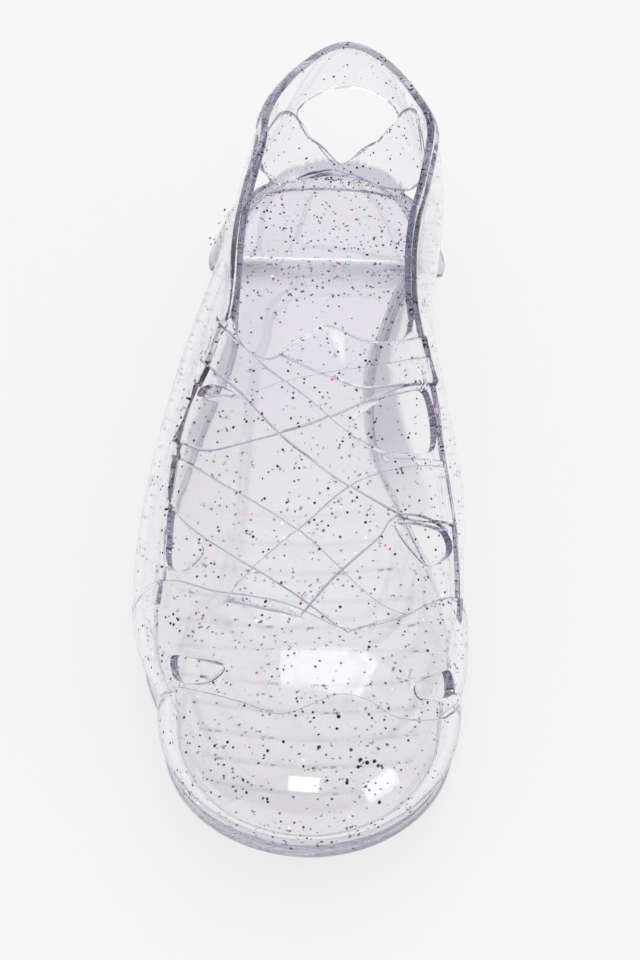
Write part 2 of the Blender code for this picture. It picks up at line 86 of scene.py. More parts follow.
# Sections of the foot form from heel to toe, as shares of the sizes above
sectionColumns = (
    "along", "featherLateral", "featherMedial", "wideLateral", "wideMedial",
    "lift", "bulge", "ridge", "sway", "leanLateral", "leanMedial",
    "waist",
)
sections = np.array((
    (0.138, 0.600, 0.576, 0.690, 0.690, 1.00, 0.875, 1.330, 0.130, 0.34, 0.12, 0.05),
    (0.225, 0.576, 0.530, 0.706, 0.676, 0.96, 1.000, 1.110, 0.035, 0.20, 0.06, 0.14),
    (0.307, 0.588, 0.518, 0.753, 0.647, 0.84, 1.060, 1.050, 0.000, 0.05, 0.00, 0.24),
    (0.437, 0.776, 0.660, 0.918, 0.765, 0.45, 1.000, 1.017, -0.035, 0.00, 0.00, 0.39),
    (0.542, 0.918, 0.800, 1.035, 0.882, 0.15, 0.810, 0.967, -0.047, 0.00, 0.00, 0.30),
    (0.671, 1.000, 0.824, 1.100, 0.894, 0.00, 0.625, 0.808, -0.035, 0.00, 0.00, 0.03),
    (0.757, 0.950, 0.835, 1.040, 0.905, 0.00, 0.594, 0.675, 0.000, 0.00, 0.00, 0.00),
    (0.850, 0.805, 0.780, 0.875, 0.845, 0.00, 0.530, 0.520, 0.035, 0.00, 0.00, 0.00),
))
column = {name: place for place, name in enumerate(sectionColumns)}
ends = {
    "heel": {"feather": 0.612, "wide": 0.712, "bulge": 0.875, "roundness": 1.98, "pinch": 0.30},
    "toe": {"feather": 0.835, "wide": 0.895, "bulge": 0.375, "roundness": 1.95, "pinch": 0},
}

# Lines on the unrolled skin: share along the ridge, share of the girth across
rimLine = (
    (0.865, -0.545), (0.822, -0.500), (0.763, -0.475), (0.678, -0.440), (0.584, -0.425),
    (0.505, -0.350), (0.480, -0.328), (0.404, -0.305), (0.328, -0.325), (0.251, -0.370),
    (0.166, -0.425), (0.080, -0.470), (-0.020, -0.505), (-0.094, -0.425), (-0.136, -0.290),
    (-0.152, -0.150), (-0.154, 0.030), (-0.147, 0.190), (-0.129, 0.325), (-0.091, 0.442),
    (-0.020, 0.500), (0.080, 0.472), (0.171, 0.430), (0.283, 0.420), (0.373, 0.415),
    (0.489, 0.475), (0.593, 0.500), (0.673, 0.575), (0.705, 0.610), (0.760, 0.630),
    (0.826, 0.625), (0.865, 0.610),
)
throatLine = (
    (0.390, 0.393), (0.425, 0.370), (0.467, 0.288), (0.487, 0.162), (0.474, 0.040),
    (0.500, -0.045), (0.528, -0.125), (0.503, -0.205), (0.462, -0.260), (0.425, -0.286),
)
straps = {
    "upperCross": (
        ((0.420, -0.200), (0.455, -0.060), (0.474, 0.040), (0.487, 0.162), (0.467, 0.288), (0.405, 0.450)),
        ((0.490, -0.180), (0.530, -0.088), (0.561, 0.025), (0.575, 0.138), (0.566, 0.212),
         (0.530, 0.350), (0.480, 0.500)),
    ),
    "upperCounter": (
        ((0.510, -0.400), (0.539, -0.350), (0.584, -0.212), (0.568, -0.050), (0.552, 0.088),
         (0.520, 0.240), (0.450, 0.440)),
        ((0.600, -0.470), (0.622, -0.412), (0.660, -0.288), (0.656, -0.088), (0.629, 0.062),
         (0.593, 0.175), (0.530, 0.350), (0.490, 0.480)),
    ),
    "middleCross": (
        ((0.410, -0.350), (0.449, -0.295), (0.503, -0.207), (0.561, -0.100), (0.629, 0.062),
         (0.660, 0.190), (0.665, 0.288), (0.612, 0.510)),
        ((0.480, -0.390), (0.516, -0.325), (0.579, -0.212), (0.656, -0.088), (0.700, 0.012),
         (0.732, 0.125), (0.752, 0.260), (0.750, 0.375), (0.700, 0.590)),
    ),
    "middleCounter": (
        ((0.900, -0.270), (0.880, -0.238), (0.858, -0.175), (0.804, -0.038), (0.732, 0.125),
         (0.685, 0.280), (0.625, 0.500)),
        ((0.932, -0.045), (0.918, -0.020), (0.867, 0.088), (0.804, 0.225), (0.754, 0.312), (0.720, 0.560)),
    ),
    "lowerCross": (
        ((0.625, -0.460), (0.660, -0.380), (0.718, -0.250), (0.804, -0.038), (0.867, 0.110),
         (0.900, 0.230), (0.905, 0.330)),
        ((0.690, -0.480), (0.709, -0.450), (0.772, -0.362), (0.858, -0.175), (0.944, 0.075), (0.950, 0.120)),
    ),
    "heelLateral": (
        ((-0.150, -0.430), (-0.200, -0.330), (-0.240, -0.262), (-0.278, -0.180), (-0.318, -0.075),
         (-0.336, 0.040), (-0.345, 0.220), (-0.330, 0.400)),
        ((-0.110, -0.560), (-0.150, -0.598), (-0.214, -0.610), (-0.280, -0.575),
         (-0.345, -0.300), (-0.358, 0.050)),
    ),
    "heelMedial": (
        ((-0.110, 0.440), (-0.176, 0.366), (-0.206, 0.340), (-0.276, 0.218), (-0.312, 0.135),
         (-0.336, 0.040), (-0.350, -0.120), (-0.325, -0.400)),
        ((-0.126, 0.600), (-0.165, 0.645), (-0.225, 0.660), (-0.310, 0.480), (-0.356, 0.150)),
    ),
}
toeCapLine = (
    (0.800, -0.900), (0.812, -0.640), (0.840, -0.450), (0.880, -0.300), (0.911, -0.088),
    (0.945, 0.090), (0.938, 0.170), (0.911, 0.312), (0.871, 0.438), (0.817, 0.640), (0.800, 0.900),
)
toeGuardLine = (
    (0.960, -0.900), (0.990, -0.660), (1.035, -0.425), (1.065, -0.250), (1.085, -0.100),
    (1.057, 0.080), (1.060, 0.188), (1.078, 0.340), (1.052, 0.560), (0.980, 0.760), (0.960, 0.920),
)
windows = {
    "medialUpper": ((0.646, 0.125), (0.600, 0.190), (0.545, 0.330), (0.515, 0.445),
                    (0.600, 0.465), (0.640, 0.360), (0.656, 0.240)),
    "medialLower": ((0.772, 0.300), (0.757, 0.350), (0.740, 0.440), (0.722, 0.560),
                    (0.745, 0.590), (0.806, 0.455), (0.800, 0.370)),
    "lateralUpper": ((0.540, -0.330), (0.574, -0.235), (0.562, -0.330), (0.550, -0.365)),
    "lateralLower": ((0.726, -0.440), (0.772, -0.372), (0.812, -0.330), (0.832, -0.400),
                     (0.812, -0.465), (0.765, -0.455)),
    "toeLateral": ((0.945, -0.560), (0.968, -0.450), (1.000, -0.330), (1.020, -0.400),
                   (1.005, -0.530), (0.975, -0.590)),
    "toeMedial": ((0.955, 0.590), (0.980, 0.500), (1.015, 0.400), (1.035, 0.440),
                  (1.015, 0.560), (0.985, 0.640)),
    "heel": ((-0.200, -0.315), (-0.208, -0.168), (-0.212, -0.020), (-0.200, 0.180), (-0.180, 0.345),
             (-0.202, 0.346), (-0.276, 0.206), (-0.330, 0.040), (-0.276, -0.172), (-0.235, -0.260)),
    "heelSideLateral": (
        (-0.135, -0.610), (-0.195, -0.622), (-0.250, -0.610), (-0.205, -0.715),
        (-0.150, -0.795), (-0.090, -0.800), (-0.070, -0.720),
    ),
    "heelSideMedial": (
        (-0.130, 0.645), (-0.195, 0.675), (-0.235, 0.660), (-0.190, 0.745),
        (-0.140, 0.800), (-0.085, 0.790), (-0.080, 0.710),
    ),
}

halfBall = form["ballWidth"] / 2
heelEnd = sections[0][column["along"]]
toeEnd = sections[-1][column["along"]]
spineLength = (toeEnd - heelEnd) * form["length"]
girth = form["instepHeight"]
heelBack = form["heelBlockLength"] / 2 + heelEnd * form["length"] - halfBall * ends["heel"]["wide"]
seam = 0.0003                  # the wall's lowest part, laid flat on the sole
nearly = 0.00002               # a point this close to a line is on it
fewestSteps = 9


def smoothReading(name, along):
    places = sections[:, column["along"]]
    values = sections[:, column[name]]
    slopes = np.gradient(values, places)
    rises = np.diff(values)
    slopes[1:-1][rises[1:] * rises[:-1] <= 0] = 0
    slopes[[0, -1]] = 0
    along = np.clip(along, places[0], places[-1])
    row = np.clip(np.searchsorted(places, along) - 1, 0, len(places) - 2)
    span = places[row + 1] - places[row]
    part = (along - places[row]) / span
    near = (2 * part**3 - 3 * part**2 + 1) * values[row] + (part**3 - 2 * part**2 + part) * span * slopes[row]
    far = (3 * part**2 - 2 * part**3) * values[row + 1] + (part**3 - part**2) * span * slopes[row + 1]
    return near + far


def sideReading(name, along, lateral):
    return np.where(lateral, smoothReading(name + "Lateral", along), smoothReading(name + "Medial", along))


def endReach(sideWidth, endLength, turn, roundness):
    ahead = np.abs(np.cos(turn) / endLength) ** roundness
    aside = np.abs(np.sin(turn) / sideWidth) ** roundness
    return (ahead + aside) ** (-1 / roundness)


def soleHeight(y):
    along = (heelBack - y) / form["length"]
    past = np.clip((along - form["springStart"]) / (1 - form["springStart"]), 0, form["springLimit"])
    return form["heelLift"] * smoothReading("lift", along) + form["toeSpring"] * past**form["springPower"]


def footForm(skin):
    # the foot form in space, for points of its unrolled skin
    along, across = skin[:, 0], skin[:, 1]
    pastHeel = np.maximum(-along, 0)
    pastToe = np.maximum(along - spineLength, 0)
    past = pastHeel + pastToe
    inHeel, inToe, lateral = pastHeel > 0, pastToe > 0, across < 0
    section = heelEnd + np.clip(along, 0, spineLength) / form["length"]
    depth = np.hypot(past, across) / girth
    turn = np.where(past > 0, np.arctan2(np.abs(across), past), math.pi / 2)
    width = {}
    for kind in ("feather", "wide"):
        side = sideReading(kind, section, lateral)
        carried = side
        for place, end in ((inHeel, ends["heel"]), (inToe, ends["toe"])):
            roundness = end["roundness"] - end["pinch"] * (1 - np.minimum(depth, 1))
            carried = np.where(place, endReach(side, end[kind], turn, roundness), carried)
        width[kind] = halfBall * carried
    bulge = smoothReading("bulge", section)
    ahead = np.cos(turn) ** 2
    bulge = np.where(inHeel, bulge * (1 - ahead) + ends["heel"]["bulge"] * ahead, bulge)
    bulge = form["sideHeight"] * np.where(inToe, bulge * (1 - ahead) + ends["toe"]["bulge"] * ahead, bulge)
    crown = form["instepHeight"] * smoothReading("ridge", section) - bulge
    tuck = np.arccos(np.clip(width["feather"] / width["wide"], 0, 1))
    angle = (math.pi / 2 + tuck) * (1 - depth) - tuck
    rise = np.where(angle > 0, crown * np.sin(angle), bulge * np.sin(angle) / np.sin(tuck))
    under = np.maximum(-np.sin(angle) / np.sin(tuck), 0)
    waist = np.where(lateral, 0, halfBall * smoothReading("waist", section) * np.sin(turn) ** 2)
    reach = width["wide"] * np.cos(angle) - waist * under
    forward = np.where(inHeel, 1, -1) * np.cos(turn)
    centre = heelBack - section * form["length"]
    edge = form["soleThickness"] + soleHeight(centre + width["feather"] * forward * np.minimum(depth, 1))
    lean = sideReading("lean", section, lateral)
    sideways = np.where(lateral, -1, 1) * np.sin(turn) * (1 - lean * (1 - depth))
    x = halfBall * smoothReading("sway", section) * (1 - depth) + reach * sideways
    return np.stack((x, centre + reach * forward, edge + bulge + rise), axis=1)


def formNormals(skin):
    step = 0.0002
    ahead = footForm(skin + (step, 0)) - footForm(skin - (step, 0))
    aside = footForm(skin + (0, step)) - footForm(skin - (0, step))
    normals = np.cross(ahead, aside)
    return normals / np.linalg.norm(normals, axis=1)[:, None]


def wallSkin(skin, height, toSole):
    # points at a height over the form, laid flat on the sole at the bottom
    outward = formNormals(skin)
    falling = outward[:, 2] < 0
    outward[falling, 2] *= np.clip(toSole[falling] / upper["soleBlend"], 0, 1)
    outward = outward / np.linalg.norm(outward, axis=1)[:, None]
    side = footForm(skin) + outward * height[:, None]
    floor = form["soleThickness"] + soleHeight(side[:, 1]) - upper["sink"]
    side[:, 2] = np.where(toSole < seam, floor, np.maximum(side[:, 2], floor))
    return side


def curveThrough(points, spacing, closed=False):
    points = np.array(points, dtype=float)
    count = len(points)
    result = []
    for place in range(count if closed else count - 1):
        before, start, stop, after = (
            points[(place + shift) % count] if closed else points[min(max(place + shift, 0), count - 1)]
            for shift in (-1, 0, 1, 2)
        )
        pieces = max(1, round(float(np.linalg.norm(stop - start)) / spacing))
        bendIn, bendOut = (stop - before) / 2, (after - start) / 2
        for piece in range(pieces):
            part = piece / pieces
            result.append(
                (2 * part**3 - 3 * part**2 + 1) * start + (part**3 - 2 * part**2 + part) * bendIn
                + (3 * part**2 - 2 * part**3) * stop + (part**3 - part**2) * bendOut
            )
    if not closed:
        result.append(points[-1])
    return np.array(result)


def leftOf(line, closed):
    if closed:
        ahead = np.roll(line, -1, axis=0) - np.roll(line, 1, axis=0)
    else:
        ahead = np.gradient(line, axis=0)
    ahead = ahead / np.maximum(np.linalg.norm(ahead, axis=1), 1e-12)[:, None]
    return np.stack((-ahead[:, 1], ahead[:, 0]), axis=1)


def shifted(line, distance, closed):
    return line + distance * leftOf(line, closed)


def turnedLeft(loop):
    following = np.roll(loop, -1, axis=0)
    area = np.sum(loop[:, 0] * following[:, 1] - loop[:, 1] * following[:, 0])
    return loop if area > 0 else loop[::-1]


def inside(points, loop):
    result = np.zeros(len(points), dtype=bool)
    for start, stop in zip(loop, np.roll(loop, -1, axis=0)):
        crosses = (start[1] > points[:, 1]) != (stop[1] > points[:, 1])
        if not crosses.any():
            continue
        share = (points[:, 1] - start[1]) / (stop[1] - start[1])
        result ^= crosses & (points[:, 0] < start[0] + share * (stop[0] - start[0]))
    return result


def distanceTo(points, line, closed):
    starts = line if closed else line[:-1]
    stops = np.roll(line, -1, axis=0) if closed else line[1:]
    result = np.full(len(points), np.inf)
    for start, stop in zip(starts, stops):
        run = stop - start
        offset = points - start
        part = np.clip((offset @ run) / max(float(run @ run), 1e-18), 0, 1)
        gap = offset - part[:, None] * run
        result = np.minimum(result, np.einsum("ij,ij->i", gap, gap))
    return np.sqrt(result)


def net(outline, holes, creases, spacing):
    # triangles of a flat area with holes, with edges along the creases
    points, edges = [], []
    for line, closed in [(outline, True)] + [(hole, True) for hole in holes] + creases:
        first = len(points)
        points.extend(line)
        edges.extend((first + place, first + place + 1) for place in range(len(line) - 1))
        if closed:
            edges.append((first + len(line) - 1, first))
    low, high = outline.min(axis=0), outline.max(axis=0)
    rows = np.arange(low[1], high[1], spacing * math.sqrt(3) / 2)
    fill = np.array([
        (x + (number % 2) * spacing / 2, y)
        for number, y in enumerate(rows)
        for x in np.arange(low[0], high[0], spacing)
    ])
    lines = np.array(points)
    fill = fill[inside(fill, outline)]
    for hole in holes:
        fill = fill[~inside(fill, hole)]
    nearest = np.full(len(fill), np.inf)
    batch = 256                # points compared at a time
    for start in range(0, len(lines), batch):
        chunk = lines[start:start + batch]
        nearest = np.minimum(nearest, np.min(np.linalg.norm(fill[:, None] - chunk[None], axis=2), axis=1))
    points.extend(fill[nearest > spacing / 2])
    scale, tolerance = 1000, 0.05      # worked in millimetres
    vectors = [Vector((float(point[0]) * scale, float(point[1]) * scale)) for point in points]
    found = delaunay_2d_cdt(vectors, edges, [], 0, tolerance)
    flat = np.array([tuple(vector) for vector in found[0]]) / scale
    triangles = np.array(found[2])
    centres = flat[triangles].mean(axis=1)
    keep = inside(centres, outline)
    for hole in holes:
        keep &= ~inside(centres, hole)
    triangles = triangles[keep]
    used, triangles = np.unique(triangles, return_inverse=True)
    triangles = triangles.reshape(-1, 3)
    flat = flat[used]
    first, second, third = (flat[triangles[:, corner]] for corner in range(3))
    run, rise = second - first, third - first
    area = run[:, 0] * rise[:, 1] - run[:, 1] * rise[:, 0]
    return flat, triangles if area.sum() > 0 else triangles[:, ::-1]


def borderEdges(triangles):
    starts = triangles.ravel()
    stops = np.roll(triangles, -1, axis=1).ravel()
    seen = set(zip(starts.tolist(), stops.tolist()))
    return [edge for edge in seen if (edge[1], edge[0]) not in seen]


def closedWall(name, upperSide, lowerSide, triangles, rings=()):
    # a closed skin between two sides of one net, with rings between them along the border
    count = len(upperSide)
    points = np.concatenate([upperSide, lowerSide, *rings])
    faces = [tuple(triangle) for triangle in triangles.tolist()]
    faces += [tuple(corner + count for corner in triangle[::-1]) for triangle in triangles.tolist()]
    order = [0, *range(2, 2 + len(rings)), 1]
    for start, stop in sorted(borderEdges(triangles)):
        for above, below in zip(order, order[1:]):
            high, low = above * count, below * count
            faces.append((start + high, low + start, low + stop, stop + high))
    used = sorted({corner for face in faces for corner in face})
    renumber = {corner: place for place, corner in enumerate(used)}
    mesh = bpy.data.meshes.new(name)
    mesh.from_pydata(
        [tuple(points[corner]) for corner in used], [],
        [tuple(renumber[corner] for corner in face) for face in faces],
    )
    mesh.validate()
    mesh.update()
    mesh.shade_smooth()
    piece = bpy.data.objects.new(name, mesh)
    bpy.context.scene.collection.objects.link(piece)
    return piece


def skinPoints(shares):
    return np.array(shares) * (spineLength, girth)


def skinOutline(depth, spacing):
    radius = girth * depth
    turns = np.linspace(-math.pi / 2, math.pi / 2, max(fewestSteps, round(math.pi * radius / spacing)))
    runs = np.linspace(0, spineLength, max(fewestSteps, round(spineLength / spacing)))[1:-1]
    toe = np.stack((spineLength + radius * np.cos(turns), radius * np.sin(turns)), axis=1)
    heel = np.stack((-radius * np.cos(turns), -radius * np.sin(turns)), axis=1)
    medial = np.stack((runs[::-1], np.full(len(runs), radius)), axis=1)
    lateral = np.stack((runs, np.full(len(runs), -radius)), axis=1)
    return np.concatenate((toe, medial, heel, lateral))


def capLoop(line):
    line = curveThrough(skinPoints(line), upper["lineSpacing"])
    reach = girth * upper["capReach"]
    turns = np.linspace(math.pi / 2, -math.pi / 2, upper["capSteps"])
    front = np.stack((spineLength + reach * np.cos(turns), reach * np.sin(turns)), axis=1)
    return turnedLeft(np.concatenate((line, front)))


def throatLoop(rimInner):
    front = curveThrough(skinPoints(throatLine), upper["lineSpacing"])
    toMedial = np.argmin(np.linalg.norm(rimInner - front[0], axis=1))
    toLateral = np.argmin(np.linalg.norm(rimInner - front[-1], axis=1))
    return turnedLeft(np.concatenate((rimInner[toLateral:toMedial + 1], front[1:-1])))


def raisedAreas():
    spacing = upper["lineSpacing"]
    rim = curveThrough(skinPoints(rimLine), spacing)
    rimInner = shifted(rim, -upper["rimWidth"] / 2, False)
    rimOuter = shifted(rim, upper["rimWidth"] / 2, False)
    areas = []
    for edges in straps.values():
        first, second = (curveThrough(skinPoints(edge), spacing) for edge in edges)
        loop = turnedLeft(np.concatenate((first, second[::-1])))
        areas.append((loop, upper["strapRelief"], upper["strapEdge"]))
    areas.append((capLoop(toeCapLine), upper["strapRelief"], upper["strapEdge"]))
    areas.append((capLoop(toeGuardLine), upper["guardRelief"], upper["strapEdge"]))
    loop = turnedLeft(np.concatenate((rimInner, rimOuter[::-1])))
    areas.append((loop, upper["rimRelief"], upper["rimEdge"]))
    return rimInner, areas


def spot(place):
    # a place in whole micrometres, to find the same point again
    return tuple(round(float(value) * 1e6) for value in place)


def roundedEdge(depth, width):
    part = np.clip(depth / width, 0, 1)
    return np.sin(part * math.pi / 2)


def buildUpper():
    rimInner, areas = raisedAreas()
    outline = skinOutline(1, upper["lineSpacing"])
    holes = [throatLoop(rimInner)]
    holes += [
        turnedLeft(curveThrough(skinPoints(window), upper["lineSpacing"] / 2, True))
        for window in windows.values()
    ]
    creases = []
    for loop, relief, edge in areas:
        for step in upper["edgeSteps"]:
            creases.append((shifted(loop, step * edge, True), True))
    cut = [shifted(hole, -upper["cutEdge"], True) for hole in holes]
    skin, triangles = net(outline, cut, creases, upper["spacing"])
    height = np.full(len(skin), upper["wall"])
    shade = np.zeros(len(skin))
    for loop, relief, edge in areas:
        covered = inside(skin, loop)
        depth = np.zeros(len(skin))
        depth[covered] = distanceTo(skin[covered], loop, True)
        height += relief * roundedEdge(depth, edge)
        # painted shade: the rim is darkened a little
        if edge == upper["rimEdge"]:
            shade = np.maximum(shade, covered * upper["rimShade"])
        else:
            # painted shade: a full dark line along each strap's edge
            line = shifted(loop, upper["paintedShadeShift"] * edge, True)
            shade[distanceTo(skin, line, True) < upper["paintedShadeWidth"] * edge] = 1
    toSole = distanceTo(skin, outline, True)
    outer = wallSkin(skin, height, toSole)
    inner = wallSkin(skin, np.zeros(len(skin)), toSole)
    # the cut edges are round: rings between the two sides reach out towards the hole
    outward = np.zeros((len(skin), 2))
    onEdge = np.zeros(len(skin), dtype=bool)
    for loop in cut:
        near = distanceTo(skin, loop, True) < nearly
        closest = np.argmin(np.linalg.norm(skin[near][:, None] - loop[None], axis=2), axis=1)
        outward[near] = leftOf(loop, True)[closest]
        onEdge |= near
    rings = []
    for rise, share in upper["cutProfile"]:
        place = skin + outward * share * upper["cutEdge"]
        ring = wallSkin(place, height * rise, toSole)
        ring[~onEdge] = outer[~onEdge] * rise + inner[~onEdge] * (1 - rise)
        rings.append(ring)
    print("upper", len(skin), "points", len(triangles), "triangles a side")
    shaded = {}
    # painted shade in the fold at the inner wall's foot, fading out towards the toe
    fadeStart, fadeEnd = upper["foldFade"]
    fade = np.clip((fadeEnd - skin[:, 0] / spineLength) / (fadeEnd - fadeStart), 0, 1)
    fold = upper["foldShade"] * fade * (toSole < upper["foldHeight"])
    for side, values in ((inner, fold), (outer, shade)):
        for place, value in zip(side, values):
            shaded[spot(place)] = value
    # painted shade on the rounded cut edges
    for ring in rings[1:-1]:
        for place in ring[onEdge]:
            shaded[spot(place)] = upper["cutShade"]
    return closedWall("sandal_moulding", outer, inner, triangles, rings), shaded


sole = {
    "reach": 0.0045,
    "step": 0.0009,
    "grooveDepth": 0.0007,
    "grooveWidth": 0.0030,
    "groovePitch": 0.0095,
    "grooveMargin": 0.0085,
    "treadStart": 0.52,
    "grooves": 11,
    "grooveSteps": 26,
    "grooveEdge": 0.0014,
    "spacing": 0.0022,
    "lineSpacing": 0.0013,
    "insoleThickness": 0.0014,
    # height share and outset share, bottom to top
    "side": ((0.00, -1.7), (0.03, -1.0), (0.09, -0.4), (0.18, 0.0), (0.44, 0.0), (0.50, -0.3),
             (0.55, -0.9), (0.62, -1.05), (0.90, -1.05), (0.97, -1.3), (1.00, -1.7)),
}


def planOutline(offset, spacing):
    return shifted(footForm(skinOutline(1, spacing))[:, :2], -offset, True)


def outwardAt(flat, edge, outline):
    # the way out at the border of a flat area, zero further in
    onBorder = distanceTo(flat, edge, True) < nearly
    closest = np.argmin(np.linalg.norm(flat[:, None] - edge[None], axis=2), axis=1)
    return -leftOf(outline, True)[closest] * onBorder[:, None]


def grooveLoop(edge, y):
    lateral, medial = edge[edge[:, 0] < 0], edge[edge[:, 0] > 0]
    low, high = (
        np.interp(y, half[np.argsort(half[:, 1]), 1], half[np.argsort(half[:, 1]), 0])
        for half in (lateral, medial)
    )
    width = sole["grooveWidth"]
    across = np.linspace(low, high, sole["grooveSteps"])
    bow = width * np.cos(np.linspace(-1, 1, sole["grooveSteps"]) * math.pi / 2)
    front = np.stack((across, y - bow - width / 2), axis=1)
    back = np.stack((across, y - bow + width / 2), axis=1)
    return turnedLeft(np.concatenate((front, back[::-1])))


def buildOutsole():
    outline = planOutline(sole["reach"], sole["lineSpacing"])
    margin = planOutline(sole["reach"] - sole["grooveMargin"], sole["lineSpacing"])
    start = heelBack - sole["treadStart"] * form["length"]
    grooves = [grooveLoop(margin, start - number * sole["groovePitch"]) for number in range(sole["grooves"])]
    inset = -sole["side"][0][1]
    edge = shifted(outline, sole["step"] * inset, True)
    creases = []
    for groove in grooves:
        creases.append((groove, True))
        creases.append((shifted(groove, sole["grooveEdge"], True), True))
    flat, triangles = net(edge, [], creases, sole["spacing"])
    outward = outwardAt(flat, edge, outline)
    rings = []
    for rise, outset in sole["side"]:
        place = flat + outward * (outset + inset) * sole["step"]
        under = soleHeight(place[:, 1])
        rings.append(np.column_stack((place, under + rise * (form["soleThickness"] - seam))))
    for groove in grooves:
        covered = inside(flat, groove)
        depth = np.zeros(len(flat))
        depth[covered] = distanceTo(flat[covered], groove, True)
        rings[0][:, 2] += sole["grooveDepth"] * roundedEdge(depth, sole["grooveEdge"])
    return closedWall("outsole_body", rings[-1], rings[0], triangles, rings[-2:0:-1])


def buildInsole():
    outline = planOutline(upper["sink"], sole["lineSpacing"])
    flat, triangles = net(outline, [], [], sole["spacing"])
    under = form["soleThickness"] + soleHeight(flat[:, 1])
    low = np.column_stack((flat, under - upper["sink"]))
    high = np.column_stack((flat, under + sole["insoleThickness"]))
    return closedWall("footbed", high, low, triangles)


heelBlock = {
    "width": 0.0695,
    "flare": 0.0035,
    "reach": 0.0195,
    "shift": -0.0016,
    "taperLateral": 0.10,
    "taperMedial": 0.32,
    "spacing": 0.0018,
    "edge": 0.0009,
    "edgeRise": 0.1,           # height of the rounded lower edge, share of the heel's height
    "breastCurve": 3,          # how hollow the front is
    "rises": (0.0, 0.03, 0.1, 0.25, 0.4, 0.5, 0.6, 0.68, 0.76, 0.83, 0.9, 0.95, 1.0),
    # across and along, shares of the half width and half length
    "outline": ((0.00, 1.00), (0.42, 0.90), (0.74, 0.58), (0.91, 0.12), (0.99, -0.42),
                (0.99, -0.80), (0.92, -0.97), (0.50, -1.00), (0.00, -1.00)),
}


def buildHeelBlock():
    half = np.array(heelBlock["outline"])
    halfLength = form["heelBlockLength"] / 2
    shares = np.concatenate((half, half[-2:0:-1] * (-1, 1)))
    corners = shares * (heelBlock["width"] / 2, halfLength)
    outline = turnedLeft(curveThrough(corners, heelBlock["spacing"], True))
    edge = shifted(outline, heelBlock["edge"], True)
    flat, triangles = net(edge, [], [], heelBlock["spacing"])
    outward = outwardAt(flat, edge, outline)
    narrowing = heelBlock["flare"] / (heelBlock["width"] / 2)
    rings = []
    for rise in heelBlock["rises"]:
        out = math.sqrt(1 - (1 - min(rise / heelBlock["edgeRise"], 1)) ** 2)
        place = flat + outward * heelBlock["edge"] * out
        front = np.clip(-place[:, 1] / halfLength, 0, 1)
        taper = np.where(place[:, 0] < 0, heelBlock["taperLateral"], heelBlock["taperMedial"])
        place = np.column_stack((
            place[:, 0] * (1 - (narrowing + taper * front) * rise) + heelBlock["shift"],
            place[:, 1] - heelBlock["reach"] * front * rise**heelBlock["breastCurve"],
        ))
        rings.append(np.column_stack((place, rise * (soleHeight(place[:, 1]) + upper["sink"]))))
    return closedWall("heel_lift", rings[-1], rings[0], triangles, rings[-2:0:-1])


class Socket:
    # a node's output
    def __init__(self, link):
        self.link = link


class Sheet:
    # one material's nodes
    def __init__(self, name):
        self.material = bpy.data.materials.new(name)
        self.material.use_nodes = True
        self.tree = self.material.node_tree
        self.shader = self.tree.nodes["Principled BSDF"]
        self.output = self.tree.nodes["Material Output"]

    def put(self, socket, value):
        if isinstance(value, Socket):
            self.tree.links.new(value.link, socket)
        else:
            socket.default_value = value

    def node(self, kind, settings=None, values=None, out=0):
        made = self.tree.nodes.new(kind)
        for name, value in (settings or {}).items():
            setattr(made, name, value)
        for name, value in (values or {}).items():
            self.put(made.inputs[name], value)
        return Socket(made.outputs[out])

    def finish(self, **values):
        for name, value in values.items():
            self.put(self.shader.inputs[name.replace("_", " ")], value)
        return self.material


white = (1, 1, 1, 1)
plastic = {
    "roughness": 0.05,
    "underRoughness": 0.28,    # the worn, grained underside
    "ior": 1.45,
    "absorb": (0.46, 0.42, 0.63, 1),
    "density": 14.0,
    # the colour of the painted shade on strap lines, rim, cut edges and the fold
    "edge": (0.34, 0.33, 0.44, 1),
    "underTint": (0.915, 0.885, 0.90, 1),
    # faces that look down at least this much, and lie this near the sole's underside, are grained
    "underFacing": -0.3,
    "underReach": 0.0003,
    "waveScale": 90.0,
    "waveDetail": 1.0,
    "waveStrength": 0.6,
    "waveHeight": 0.00006,
    "smoothAngle": 38,
}


def clearPlastic(name, roughness, tint):
    sheet = Sheet(name)
    place = sheet.node("ShaderNodeTexCoord", out="Object")
    wave = sheet.node("ShaderNodeTexNoise", values={
        "Vector": place, "Scale": plastic["waveScale"], "Detail": plastic["waveDetail"],
    })
    bump = sheet.node("ShaderNodeBump", values={
        "Height": wave, "Strength": plastic["waveStrength"], "Distance": plastic["waveHeight"],
    })
    absorb = sheet.node("ShaderNodeVolumeAbsorption", values={
        "Color": plastic["absorb"], "Density": plastic["density"],
    })
    sheet.put(sheet.output.inputs["Volume"], absorb)
    # painted shade: edge_shade mixes the base colour towards the painted shade colour
    edge = sheet.node("ShaderNodeAttribute", {"attribute_name": "edge_shade"}, out="Fac")
    colour = sheet.node("ShaderNodeMix", {"data_type": "RGBA"}, {0: edge, 6: tint, 7: plastic["edge"]}, out=2)
    return sheet.finish(
        Base_Color=colour, Roughness=roughness, IOR=plastic["ior"],
        Transmission_Weight=1.0, Normal=bump,
    )


